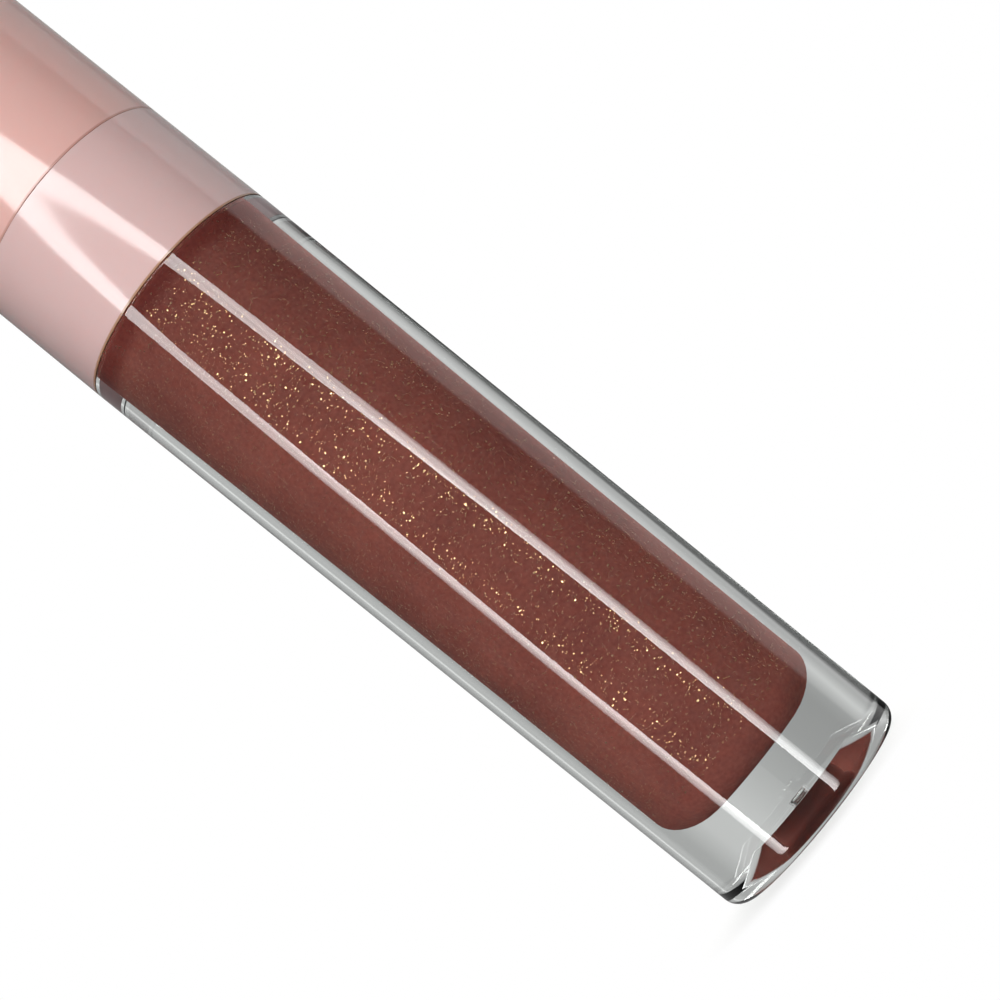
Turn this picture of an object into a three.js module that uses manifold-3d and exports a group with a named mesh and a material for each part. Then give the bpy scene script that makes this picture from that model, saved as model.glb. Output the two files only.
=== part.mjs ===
// Lip gloss tube: a thick-walled clear bottle with a collar, and a screw cap that carries the wand.
// Millimetres, +Z up. The bottle stands on its foot at z = 0 and the Z axis is the axis of every piece.
import * as THREE from "three";
import { mergeVertices } from "three/addons/utils/BufferGeometryUtils.js";
import Module from "manifold-3d";

const wasm = await Module();
wasm.setup();

// Driving dimensions of the outside
const body_diameter = 17; // cap, collar and the bottle's upper end are flush
const foot_inset = 0.46; // the bottle narrows to its foot by its mould draft
const bottle_body_length = 53.1; // from the foot to the collar's lower edge
const collar_length = 9.25;
const cap_length = 43;
const seam_gap = 0.1; // the open line between collar and cap

// Clearances that pieces share
const seat_gap = 0.1; // between pieces of one body that seat on each other
const running_gap = 0.25; // between pieces that turn or slide past each other

// Bottle
const foot_corner_radius = 1.14;
const foot_ring_width = 1.65; // the flat ring that it stands on, round the punt
const punt_height = 1.8; // the punt is a hollow cone of 45 degrees under the foot, with a flat roof
const gate_well_radius = 1.75; // a shallow dome in the punt's roof, where the mould's gate was
const gate_well_height = 0.5;
const bottle_edge_radius = 0.25;
const base_thickness = 5.2; // from the foot to the cavity's floor
const cavity_foot_diameter = 8.96; // the core pin's draft opens the cavity from here to the mouth
const neck_wall = 1.16;
const cavity_corner_radius = 2.2;
const collar_seat_chamfer = 0.3;
const neck_height = 11.6; // the neck that stands clear of the collar
const neck_rim_radius = 0.3;
const neck_root_radius = 0.2;

// Gloss
const gloss_above_collar_edge = 4;
const gloss_below_wand = 1.2;

// Collar
const collar_wall = 1.25;
const collar_flange_thickness = 1;
const snap_bead_depth = 0.2; // the bead inside the collar that snaps into a groove of the seat
const snap_bead_height = 0.8;
const snap_bead_rise = 3.4; // from the collar's lower edge to the middle of the bead
const outer_edge_radius = 0.12; // the small round on every visible edge of collar and cap
const collar_lead_in = 0.4;

// Wiper
const wiper_flange_thickness = 0.8;
const wiper_flange_inset = 0.35; // the flange stays this far inside the neck's outer face
const wiper_wall = 0.6;
const wiper_length = 9.5;
const wiper_funnel_height = 3.4;
const wiper_lip_height = 0.5;
const wiper_lip_thickness = 0.45;
const wiper_clearance = 0.2; // between the lip and the applicator at its widest
const wiper_bead_height = 0.25;
const wiper_bead_pitch = 1.5;
const wiper_bead_count = 2;
const wiper_lead_in = 0.35;

// Sealing ring
const sealing_ring_thickness = 1;
const sealing_ring_clearance = 0.7; // between its hole and the stem

// Inner cap
const inner_cap_wall = 0.65;
const thread_space = 0.6; // between the skirt and the neck, where the threads run
const inner_cap_roof = 1.8;
const inner_cap_inset = 0.55; // the liner's mouth stands this far inside the cap's mouth
const inner_cap_lead_in = 0.35;
const socket_wall = 1.5;
const socket_depth = 8;
const socket_roof = 1.2;
const rib_count = 24;
const rib_height = 0.15;
const rib_width = 0.55;
const rib_margin = 1.2; // plain skirt below and above the ribs

// Outer cap
const outer_cap_wall = 1;
const outer_cap_roof = 1.8;
const outer_cap_top_edge_radius = 0.8;
const outer_cap_inner_corner = 1;
const outer_cap_lead_in = 0.3;

// Wand
const stem_diameter = 3.8;
const stem_draft = 0.15; // the stem's radius at the cap less its radius at the applicator
const stem_end_wall = 0.7;
const stem_barb_height = 0.06;
const stem_barb_pitch = 1.4;
const stem_barb_count = 3;
const stem_end_chamfer = 0.3;
const shank_length = 4.5;
const applicator_length = 14.5;
const applicator_swell = 0.15; // how far its widest part stands out past the stem
const applicator_above_floor = 2.3; // the tip hangs this far above the cavity's floor

// Facets
const round_facets = 48;
const wand_facets = 32;
const corner_steps = 6;
const edge_steps = 3;

// Sizes that follow
const body_radius = body_diameter / 2;
const foot_radius = body_radius - foot_inset;
const seat_radius = body_radius - collar_wall - seat_gap;
const outer_cap_bore = body_radius - outer_cap_wall;
const inner_skirt_radius = outer_cap_bore - seat_gap - rib_height;
const inner_skirt_bore = inner_skirt_radius - inner_cap_wall;
const neck_radius = inner_skirt_bore - thread_space;
const cavity_foot_radius = cavity_foot_diameter / 2;
const cavity_mouth_radius = neck_radius - neck_wall;
const stem_radius = stem_diameter / 2;
const stem_tip_radius = stem_radius - stem_draft;
const shank_radius = stem_tip_radius - stem_end_wall - seat_gap;
const applicator_radius = stem_radius + applicator_swell;
const collar_bottom_z = bottle_body_length + seat_gap;
const collar_top_z = collar_bottom_z + collar_length;
const snap_bead_z = collar_bottom_z + snap_bead_rise;
const cap_bottom_z = collar_top_z + seam_gap;
const cap_top_z = cap_bottom_z + cap_length;
const seat_top_z = collar_top_z - collar_flange_thickness - seat_gap;
const neck_top_z = collar_top_z + neck_height;
const wiper_flange_z = neck_top_z + seat_gap;
const wiper_top_z = wiper_flange_z + wiper_flange_thickness;
const ring_bottom_z = wiper_top_z + seat_gap;
const ring_top_z = ring_bottom_z + sealing_ring_thickness;
const inner_roof_z = ring_top_z + seat_gap;
const applicator_tip_z = base_thickness + applicator_above_floor;
const stem_bottom_z = applicator_tip_z + applicator_length;

// The bottle's outer radius and the cavity's radius at a height.
const side_radius = (z) =>
  foot_radius + ((body_radius - foot_radius) * z) / bottle_body_length;
const cavity_radius = (z) =>
  cavity_foot_radius +
  ((cavity_mouth_radius - cavity_foot_radius) * (z - base_thickness)) /
    (neck_top_z - base_thickness);

// Points on a circular arc in the half plane of radius and height, angles in degrees from the radius.
function arc(centre_r, centre_z, radius, from, to, steps) {
  return Array.from({ length: steps + 1 }, (_, i) => {
    const a = THREE.MathUtils.degToRad(from + ((to - from) * i) / steps);
    return [centre_r + radius * Math.cos(a), centre_z + radius * Math.sin(a)];
  });
}

// A solid of revolution about Z from an outline that runs anticlockwise in the half plane.
function revolve(outline, facets = round_facets) {
  const points = outline.map(([r, z]) => new THREE.Vector2(Math.max(r, 0), z));
  return new THREE.LatheGeometry(points, facets).rotateX(Math.PI / 2);
}

// The same for a ring, whose outline closes on itself.
const revolve_ring = (outline, facets) =>
  revolve([...outline, outline[0]], facets);

// The snap bead's outline on a wall of radius r, from below up. The seat's groove is the same, seat_gap deeper in.
const snap_bead = (r) => [
  [r, snap_bead_z - snap_bead_height / 2],
  [r - snap_bead_depth, snap_bead_z - snap_bead_height / 2 + snap_bead_depth],
  [r - snap_bead_depth, snap_bead_z + snap_bead_height / 2 - snap_bead_depth],
  [r, snap_bead_z + snap_bead_height / 2],
];

function bottle_geometry() {
  const corner_centre_r = side_radius(foot_corner_radius) - foot_corner_radius;
  const floor_corner_z = base_thickness + cavity_corner_radius;
  const punt_radius = corner_centre_r - foot_ring_width;
  const dome_radius = (gate_well_radius ** 2 + gate_well_height ** 2) / (2 * gate_well_height);
  const dome_edge = THREE.MathUtils.radToDeg(Math.acos(gate_well_radius / dome_radius));
  return revolve([
    ...arc(0, punt_height + gate_well_height - dome_radius, dome_radius, 90, dome_edge, edge_steps),
    [punt_radius - punt_height, punt_height],
    [punt_radius, 0],
    ...arc(corner_centre_r, foot_corner_radius, foot_corner_radius, -90, 0, corner_steps),
    ...arc(
      body_radius - bottle_edge_radius,
      bottle_body_length - bottle_edge_radius,
      bottle_edge_radius,
      0,
      90,
      edge_steps,
    ),
    [seat_radius, bottle_body_length],
    ...snap_bead(seat_radius),
    [seat_radius, seat_top_z - collar_seat_chamfer],
    [seat_radius - collar_seat_chamfer, seat_top_z],
    [neck_radius + neck_root_radius, seat_top_z],
    [neck_radius, seat_top_z + neck_root_radius],
    ...arc(
      neck_radius - neck_rim_radius,
      neck_top_z - neck_rim_radius,
      neck_rim_radius,
      0,
      90,
      edge_steps,
    ),
    [cavity_mouth_radius, neck_top_z],
    ...arc(
      cavity_radius(floor_corner_z) - cavity_corner_radius,
      floor_corner_z,
      cavity_corner_radius,
      0,
      -90,
      corner_steps,
    ),
    [0, base_thickness],
  ]);
}

// The gloss fills the cavity to a level behind the collar and stands clear of the wand's path.
function gloss_geometry() {
  const floor_corner_z = base_thickness + cavity_corner_radius;
  const level_z = bottle_body_length + gloss_above_collar_edge;
  const pocket_radius = applicator_radius + running_gap;
  const pocket_floor_z = applicator_tip_z - gloss_below_wand;
  return revolve([
    [0, base_thickness + seat_gap],
    ...arc(
      cavity_radius(floor_corner_z) - cavity_corner_radius,
      floor_corner_z,
      cavity_corner_radius - seat_gap,
      -90,
      0,
      corner_steps,
    ),
    [cavity_radius(level_z) - seat_gap, level_z],
    [pocket_radius, level_z],
    ...arc(0, pocket_floor_z + pocket_radius, pocket_radius, 0, -90, corner_steps),
  ]);
}

function collar_geometry() {
  const inner_radius = body_radius - collar_wall;
  const hole_radius = neck_radius + running_gap;
  const edge_r = body_radius - outer_edge_radius;
  return revolve_ring([
    [inner_radius + collar_lead_in, collar_bottom_z],
    ...arc(edge_r, collar_bottom_z + outer_edge_radius, outer_edge_radius, -90, 0, edge_steps),
    ...arc(edge_r, collar_top_z - outer_edge_radius, outer_edge_radius, 0, 90, edge_steps),
    [hole_radius, collar_top_z],
    [hole_radius, collar_top_z - collar_flange_thickness],
    [inner_radius, collar_top_z - collar_flange_thickness],
    ...snap_bead(inner_radius).reverse(),
    [inner_radius, collar_bottom_z + collar_lead_in],
  ]);
}

// The wiper hangs by its flange on the neck's rim. Beads grip the bore, and a funnel ends in the lip.
function wiper_geometry() {
  const end_z = wiper_top_z - wiper_length;
  const funnel_z = end_z + wiper_funnel_height;
  const sleeve_radius = cavity_radius(end_z) - running_gap;
  const inner_radius = sleeve_radius - wiper_wall;
  const flange_radius = neck_radius - wiper_flange_inset;
  const orifice_radius = applicator_radius + wiper_clearance;
  const beads = Array.from({ length: wiper_bead_count }, (_, i) => {
    const z = funnel_z + wiper_bead_pitch * (i + 1);
    const bead_radius = cavity_radius(z) - seat_gap;
    return [
      [sleeve_radius, z - wiper_bead_height],
      [bead_radius, z],
      [sleeve_radius, z + wiper_bead_height],
    ];
  }).flat();
  return revolve_ring([
    [orifice_radius, end_z],
    [orifice_radius + wiper_lip_thickness, end_z],
    [sleeve_radius, funnel_z],
    ...beads,
    [sleeve_radius, wiper_flange_z],
    [flange_radius, wiper_flange_z],
    [flange_radius, wiper_top_z],
    [inner_radius + wiper_lead_in, wiper_top_z],
    [inner_radius, wiper_top_z - wiper_lead_in],
    [inner_radius, funnel_z + wiper_wall],
    [orifice_radius, end_z + wiper_lip_height],
  ]);
}

function sealing_ring_geometry() {
  const outer_radius = neck_radius - wiper_flange_inset;
  const hole_radius = stem_radius + sealing_ring_clearance;
  return revolve_ring([
    [hole_radius, ring_bottom_z],
    [outer_radius, ring_bottom_z],
    [outer_radius, ring_top_z],
    [hole_radius, ring_top_z],
  ]);
}

// Heights and sizes of the inner cap that the stem also uses
const socket_radius = stem_radius + seat_gap;
const socket_top_z = inner_roof_z + socket_depth;
const inner_cap_bottom_z = cap_bottom_z + inner_cap_inset;
const inner_cap_shoulder_z = inner_roof_z + inner_cap_roof;

// A three.js geometry as a manifold solid, and back.
function solid(geometry) {
  const bare = geometry.clone();
  for (const name of Object.keys(bare.attributes)) {
    if (name !== "position") bare.deleteAttribute(name);
  }
  const merged = mergeVertices(bare, 1e-4 * body_diameter);
  return new wasm.Manifold(
    new wasm.Mesh({
      numProp: 3,
      vertProperties: merged.attributes.position.array,
      triVerts: new Uint32Array(merged.index.array),
    }),
  );
}

function geometry_of(manifold) {
  const mesh = manifold.getMesh();
  const geometry = new THREE.BufferGeometry();
  geometry.setAttribute("position", new THREE.BufferAttribute(mesh.vertProperties, mesh.numProp));
  geometry.setIndex(new THREE.BufferAttribute(mesh.triVerts, 1));
  const flat = geometry.toNonIndexed();
  flat.computeVertexNormals();
  return flat;
}

// Upright ribs round the inner cap's skirt, one outline extruded along the axis.
// Each rib is a trapezium that rises from inside the wall and narrows to its crest.
function rib_band_geometry() {
  const root_radius = inner_skirt_radius - inner_cap_wall / 4;
  const crest_radius = inner_skirt_radius + rib_height;
  const hole_radius = inner_skirt_radius - inner_cap_wall / 2;
  const outline = new THREE.Shape();
  for (let i = 0; i < rib_count; i++) {
    const middle = (i * 2 * Math.PI) / rib_count;
    const corners = [
      [root_radius, -rib_width],
      [crest_radius, -rib_width / 2],
      [crest_radius, rib_width / 2],
      [root_radius, rib_width],
    ];
    corners.forEach(([r, side], j) => {
      const a = middle + side / r;
      const move = i === 0 && j === 0 ? "moveTo" : "lineTo";
      outline[move](r * Math.cos(a), r * Math.sin(a));
    });
  }
  outline.closePath();
  const hole = new THREE.Path();
  hole.absarc(0, 0, hole_radius, 0, 2 * Math.PI, true);
  outline.holes.push(hole);
  const bottom_z = inner_cap_bottom_z + rib_margin;
  const depth = inner_cap_shoulder_z - rib_margin - bottom_z;
  return new THREE.ExtrudeGeometry(outline, {
    depth,
    bevelEnabled: false,
    curveSegments: round_facets / 2,
  }).translate(0, 0, bottom_z);
}

// The liner: a skirt over the neck, a roof on the sealing ring and a socket that grips the stem.
function inner_cap_geometry() {
  const boss_radius = socket_radius + socket_wall;
  const boss_top_z = socket_top_z + socket_roof;
  const liner = revolve([
    [0, socket_top_z],
    [socket_radius, socket_top_z],
    [socket_radius, inner_roof_z],
    [inner_skirt_bore, inner_roof_z],
    [inner_skirt_bore, inner_cap_bottom_z + inner_cap_lead_in],
    [inner_skirt_bore + inner_cap_lead_in, inner_cap_bottom_z],
    [inner_skirt_radius, inner_cap_bottom_z],
    [inner_skirt_radius, inner_cap_shoulder_z],
    [boss_radius + inner_cap_wall, inner_cap_shoulder_z],
    [boss_radius, inner_cap_shoulder_z + inner_cap_wall],
    [boss_radius, boss_top_z - stem_end_chamfer],
    [boss_radius - stem_end_chamfer, boss_top_z],
    [0, boss_top_z],
  ]);
  return geometry_of(solid(liner).add(solid(rib_band_geometry())));
}

function outer_cap_geometry() {
  const roof_z = cap_top_z - outer_cap_roof;
  return revolve([
    [0, roof_z],
    ...arc(
      outer_cap_bore - outer_cap_inner_corner,
      roof_z - outer_cap_inner_corner,
      outer_cap_inner_corner,
      90,
      0,
      edge_steps,
    ),
    [outer_cap_bore, cap_bottom_z + outer_cap_lead_in],
    [outer_cap_bore + outer_cap_lead_in, cap_bottom_z],
    ...arc(
      body_radius - outer_edge_radius,
      cap_bottom_z + outer_edge_radius,
      outer_edge_radius,
      -90,
      0,
      edge_steps,
    ),
    ...arc(
      body_radius - outer_cap_top_edge_radius,
      cap_top_z - outer_cap_top_edge_radius,
      outer_cap_top_edge_radius,
      0,
      90,
      corner_steps,
    ),
    [0, cap_top_z],
  ]);
}

// The rod: barbs grip the inner cap's socket, and a blind hole below takes the applicator's shank.
function wand_stem_geometry() {
  const hole_radius = shank_radius + seat_gap;
  const hole_top_z = stem_bottom_z + shank_length + seat_gap;
  const top_z = socket_top_z - seat_gap;
  const barbs = Array.from({ length: stem_barb_count }, (_, i) => {
    const z = top_z - stem_barb_pitch * (stem_barb_count - i);
    return [
      [stem_radius, z],
      [stem_radius + stem_barb_height, z + stem_barb_height],
      [stem_radius, z + stem_barb_pitch / 2],
    ];
  }).flat();
  return revolve(
    [
      [0, hole_top_z],
      [hole_radius, hole_top_z],
      [hole_radius, stem_bottom_z],
      [stem_tip_radius, stem_bottom_z],
      [stem_radius, inner_roof_z],
      ...barbs,
      [stem_radius, top_z - stem_end_chamfer],
      [stem_radius - stem_end_chamfer, top_z],
      [0, top_z],
    ],
    wand_facets,
  );
}

// A closed solid from rings of points, top ring first, each end closed by a fan.
function loft(rings) {
  const count = rings[0].length;
  const points = rings.flat();
  const middle = (ring) =>
    ring.reduce((m, p) => m.map((v, i) => v + p[i] / ring.length), [0, 0, 0]);
  const top = points.push(middle(rings[0])) - 1;
  const bottom = points.push(middle(rings.at(-1))) - 1;
  const index = [];
  for (let j = 0; j < count; j++) {
    const k = (j + 1) % count;
    for (let i = 0; i + 1 < rings.length; i++) {
      const [a, b] = [i * count + j, i * count + k];
      index.push(a, a + count, b + count, a, b + count, b);
    }
    const last = (rings.length - 1) * count;
    index.push(top, j, k, bottom, last + k, last + j);
  }
  const geometry = new THREE.BufferGeometry();
  geometry.setAttribute("position", new THREE.Float32BufferAttribute(points.flat(), 3));
  geometry.setIndex(index);
  geometry.computeVertexNormals();
  return geometry;
}

// The tip's radius as shares of its largest, against shares of the way from the stem to the tip's end.
const tip_way_shares = [0, 0.05, 0.14, 0.24, 0.34, 0.44, 0.54, 0.64, 0.74, 0.82, 0.89, 0.94, 0.975, 1];
const tip_radius_shares = [0.85, 0.86, 0.88, 0.92, 0.97, 1, 1, 0.99, 0.96, 0.91, 0.84, 0.74, 0.6, 0.36];
const face_start_share = 0.28; // where along the tip its slanted face begins
const face_end_share = -0.15; // how far past the axis the face ends, as a share of the radius
const back_share = 0.8; // how much of its narrowing the tip keeps off its back, which stays nearly straight

// The applicator: a round shank in the stem, then a tip with one slanted face.
function applicator_geometry() {
  const largest = applicator_radius;
  const top_z = stem_bottom_z - seat_gap;
  const ring = (z, radius, face, shift) =>
    Array.from({ length: wand_facets }, (_, i) => {
      const a = (i * 2 * Math.PI) / wand_facets;
      return [Math.min(shift + radius * Math.cos(a), face), radius * Math.sin(a), z];
    });
  const rings = [
    ring(top_z + shank_length, shank_radius - seat_gap, largest, 0),
    ring(top_z + shank_length - seat_gap, shank_radius, largest, 0),
    ring(top_z, shank_radius, largest, 0),
  ];
  tip_way_shares.forEach((way, i) => {
    const z = top_z - (top_z - applicator_tip_z) * way;
    const along_face = Math.max(0, (way - face_start_share) / (1 - face_start_share));
    const face = largest * (1 + (face_end_share - 1) * along_face);
    const radius = largest * tip_radius_shares[i];
    const shift = along_face > 0 ? back_share * (radius - largest) : 0;
    rings.push(ring(z, radius, face, shift));
  });
  return loft(rings);
}

// Finishes
const clear_plastic = new THREE.MeshStandardMaterial({
  color: 0xe6eae8,
  roughness: 0.04,
  metalness: 0,
  transparent: true,
  opacity: 0.3,
});
const glitter_gloss = new THREE.MeshStandardMaterial({ color: 0x784438, roughness: 0.25, metalness: 0.1 });
const collar_pink = new THREE.MeshStandardMaterial({ color: 0xe0bfbc, roughness: 0.16, metalness: 0 });
const cap_pink = new THREE.MeshStandardMaterial({ color: 0xe2b3ad, roughness: 0.16, metalness: 0 });
const liner_white = new THREE.MeshStandardMaterial({ color: 0xf0e9e4, roughness: 0.35, metalness: 0 });
const wiper_natural = new THREE.MeshStandardMaterial({ color: 0xf3f0ea, roughness: 0.45, metalness: 0 });
const seal_white = new THREE.MeshStandardMaterial({ color: 0xe9e6e0, roughness: 0.7, metalness: 0 });
const stem_natural = new THREE.MeshStandardMaterial({ color: 0xefe2dc, roughness: 0.3, metalness: 0 });
const flock = new THREE.MeshStandardMaterial({ color: 0xa8695a, roughness: 0.95, metalness: 0 });

function piece(name, geometry, material) {
  const mesh = new THREE.Mesh(geometry, material);
  mesh.name = name;
  return mesh;
}

const tube_body = new THREE.Group();
tube_body.add(
  piece("bottle", bottle_geometry(), clear_plastic),
  piece("gloss_fill", gloss_geometry(), glitter_gloss),
  piece("wiper", wiper_geometry(), wiper_natural),
  piece("collar", collar_geometry(), collar_pink),
);

const seal_body = new THREE.Group();
seal_body.add(piece("sealing_ring", sealing_ring_geometry(), seal_white));

const cap_body = new THREE.Group();
cap_body.add(
  piece("outer_cap", outer_cap_geometry(), cap_pink),
  piece("inner_cap", inner_cap_geometry(), liner_white),
  piece("wand_stem", wand_stem_geometry(), stem_natural),
  piece("applicator", applicator_geometry(), flock),
);

const lip_gloss_tube = new THREE.Group();
lip_gloss_tube.add(tube_body, seal_body, cap_body);

export default lip_gloss_tube;
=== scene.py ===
"""Lip gloss tube: smooth surfaces, finishes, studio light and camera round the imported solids."""

import bpy
import numpy as np
from mathutils import Matrix


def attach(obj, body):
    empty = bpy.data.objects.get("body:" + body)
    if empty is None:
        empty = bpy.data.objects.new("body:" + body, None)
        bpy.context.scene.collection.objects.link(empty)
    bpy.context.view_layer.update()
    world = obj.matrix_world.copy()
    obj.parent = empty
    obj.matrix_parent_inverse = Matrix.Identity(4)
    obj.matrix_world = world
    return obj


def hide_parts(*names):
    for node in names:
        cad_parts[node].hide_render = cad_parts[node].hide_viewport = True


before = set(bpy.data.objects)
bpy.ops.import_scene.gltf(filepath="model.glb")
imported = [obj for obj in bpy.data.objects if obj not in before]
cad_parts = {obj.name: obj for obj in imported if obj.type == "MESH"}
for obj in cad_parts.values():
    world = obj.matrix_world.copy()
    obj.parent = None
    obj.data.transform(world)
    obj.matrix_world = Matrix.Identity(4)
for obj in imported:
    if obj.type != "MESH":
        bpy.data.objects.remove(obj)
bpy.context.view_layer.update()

# Bottle: one thick-walled injection moulding in clear PETG, with a heavy base over a stepped punt, a shoulder for
# the collar and a threaded neck. Its skin is as polished as the mould was.
MM = 0.001
BODY_R, FOOT_R, FOOT_CORNER = 8.5, 8.04, 1.14
SIDE_TOP, SIDE_EDGE = 53.16, 0.08
PUNT_R, PUNT_ROOF_R, PUNT_HEIGHT, PUNT_EDGE = 5.25, 2.95, 1.8, 0.15
WELL_R, WELL_TOP, WELL_SLOPE_R, WELL_SLOPE_DROP = 1.75, 1.9, 1.1, 0.05
GATE_R, GATE_TOP = 0.5, 2.1
SEAT_R, SEAT_TOP = 7.15, 61.35
GROOVE_Z, GROOVE_HALF, GROOVE_DEPTH = 56.6, 0.4, 0.2
NECK_R, NECK_TOP = 6.0, 74.05
FLOOR_Z, FLOOR_CORNER = 5.2, 2.2
CAVITY_FOOT_R, CAVITY_MOUTH_R = 4.48, 4.84
THREAD_START, THREAD_PITCH, THREAD_TURNS, THREAD_FADE = 65.0, 2.8, 2.1, 0.05
THREAD_HEIGHT, THREAD_CREST, THREAD_FOOT = 0.5, 0.35, 1.1
THREAD_ROWS = np.arange(63.2, 72.6, 0.1)
# The seat's faces between these bounds take the painted collar shade.
SHADED_SEAT_LOW, SHADED_SEAT_INNER_R = SIDE_TOP + 0.05, 6.5
ARC_STEPS, CORNER_EASE, EASE_SHARE = 10, 0.02, 0.3
ON_FACE = 0.01


def cavity_r(z):
    """The cavity's radius at height z: a straight line from the floor to the mouth."""
    return CAVITY_FOOT_R + (CAVITY_MOUTH_R - CAVITY_FOOT_R) * (z - FLOOR_Z) / (NECK_TOP - FLOOR_Z)


def rounded(corners):
    """An outline (r, z) through corners (r, z, radius), anticlockwise, each corner with a radius turned to an arc.
    With unit vectors u and v to the neighbours, half the angle between them h, the arc starts and ends
    radius / tan h away, and its centre lies radius / sin h along u + v. A point a little before and after each
    corner that turns keeps the straight sides flat in the shading."""
    p = np.array([c[:2] for c in corners], float)
    radius = np.array([c[2] if len(c) > 2 else 0.0 for c in corners])
    u, v = np.roll(p, 1, axis=0) - p, np.roll(p, -1, axis=0) - p
    reach_u, reach_v = (np.linalg.norm(w, axis=1, keepdims=True) for w in (u, v))
    u, v = u / np.maximum(reach_u, 1e-9), v / np.maximum(reach_v, 1e-9)
    half = np.arccos(np.clip((u * v).sum(1), -1, 1)) / 2
    middle = (u + v) / np.maximum(np.linalg.norm(u + v, axis=1, keepdims=True), 1e-9)
    centre = p + middle * (radius / np.sin(half))[:, None]
    start = p + u * (radius / np.tan(half))[:, None]
    end = p + v * (radius / np.tan(half))[:, None]
    way = np.linspace(0, 1, ARC_STEPS + 1)[None, :, None]
    turn = (np.pi - 2 * half)[:, None, None]
    a, b = (start - centre)[:, None], (end - centre)[:, None]
    is_round = radius[:, None, None] > 0
    fan = np.where(is_round, np.sin((1 - way) * turn), 1 - way) * a
    fan = fan + np.where(is_round, np.sin(way * turn), way) * b
    arcs = centre[:, None] + fan / np.where(is_round, np.sin(turn), 1)
    ease = np.where(half < np.pi / 2 - 1e-6, CORNER_EASE, 0.0)[:, None]
    before = start + u * np.minimum(ease, reach_u * EASE_SHARE)
    after = end + v * np.minimum(ease, reach_v * EASE_SHARE)
    points = np.concatenate([before[:, None], arcs, after[:, None]], axis=1)
    points[0, :-1] = p[0] if p[0, 0] == 0 else points[0, :-1]
    points[-1, 1:] = p[-1] if p[-1, 0] == 0 else points[-1, 1:]
    points = points.reshape(-1, 2)
    keep = np.linalg.norm(points - np.roll(points, 1, axis=0), axis=1) > 1e-6
    return points[keep]


def turned(name, outline, turns=256, relief=None):
    """A surface of revolution: point (r, z) of the outline goes to (r cos a, r sin a, z) for each turn a, and
    relief(a, r, z) is added to r. An outline that starts on the axis ends there too, in poles; others close."""
    outline = np.asarray(outline, float)
    a = np.linspace(0, 2 * np.pi, turns, endpoint=False)[None, :]
    r, z = outline[:, :1], outline[:, 1:]
    r_all = r + (relief(a, r, z) if relief else 0 * a)
    points = np.stack([r_all * np.cos(a), r_all * np.sin(a), z + 0 * a], axis=2) * MM
    rows = len(outline)
    index = np.arange(rows * turns).reshape(rows, turns)
    poles = outline[0, 0] == 0
    if poles:
        index[0], index[-1] = index[0, 0], index[-1, 0]
    low, high = (index[:-1], index[1:]) if poles else (index, np.roll(index, -1, axis=0))
    quads = np.stack([low, np.roll(low, -1, axis=1), np.roll(high, -1, axis=1), high], axis=2).reshape(-1, 4)
    return surface(name, points.reshape(-1, 3), quads)


def mesh_object(name, points, faces):
    """A mesh object in the scene, from points in metres and a list of faces."""
    mesh = bpy.data.meshes.new(name)
    mesh.from_pydata(points.reshape(-1, 3).tolist(), [], faces)
    piece = bpy.data.objects.new(name, mesh)
    bpy.context.collection.objects.link(piece)
    return piece


def surface(name, points, quads, sharp=30):
    """A smooth mesh object from points and quads, with an edge where faces meet at more than sharp degrees. A quad
    with a repeated corner becomes a triangle, and points that no face uses are dropped."""
    repeated = [quads[:, i] == quads[:, (i + 1) % 4] for i in range(4)]
    is_quad = ~np.any(repeated, axis=0)
    faces = quads[is_quad].tolist()
    for i in range(4):
        pick = repeated[i] & ~np.any(repeated[:i], axis=0) if i else repeated[0]
        faces += np.delete(quads[pick], i, axis=1).tolist()
    used, compact = np.unique(np.concatenate([np.ravel(f) for f in faces]), return_inverse=True)
    sizes = np.array([len(f) for f in faces])
    parts = np.split(compact.ravel(), np.cumsum(sizes)[:-1])
    piece = mesh_object(name, points[used], [part.tolist() for part in parts])
    piece.data.shade_smooth()
    piece.data.set_sharp_from_angle(angle=np.radians(sharp))
    return piece


def screw_thread(a, z, start, height):
    """Height of the right-hand thread at angle a and height z. With k the whole number of turns nearest to
    (z - start) / pitch - a / 2 pi, the thread's middle is at start + pitch (k + a / 2 pi). It stands full height
    within half the crest of that, falls in a straight flank to half the foot, and fades over its first and last
    twentieth of a turn."""
    here = a / (2 * np.pi)
    whole = np.round((z - start) / THREAD_PITCH - here)
    off = np.abs(z - start - THREAD_PITCH * (whole + here))
    flank = np.clip((THREAD_FOOT / 2 - off) / (THREAD_FOOT / 2 - THREAD_CREST / 2), 0, 1)
    run = np.clip(np.minimum(whole + here, THREAD_TURNS - whole - here) / THREAD_FADE, 0, 1)
    return height * flank * run * run * (3 - 2 * run)


def neck_relief(a, r, z):
    """The bottle's thread, on the outer face of the neck alone."""
    thread = screw_thread(a, z, THREAD_START, THREAD_HEIGHT)
    return np.where((r > NECK_R - ON_FACE) & (r < NECK_R + ON_FACE), thread, 0)


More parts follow.
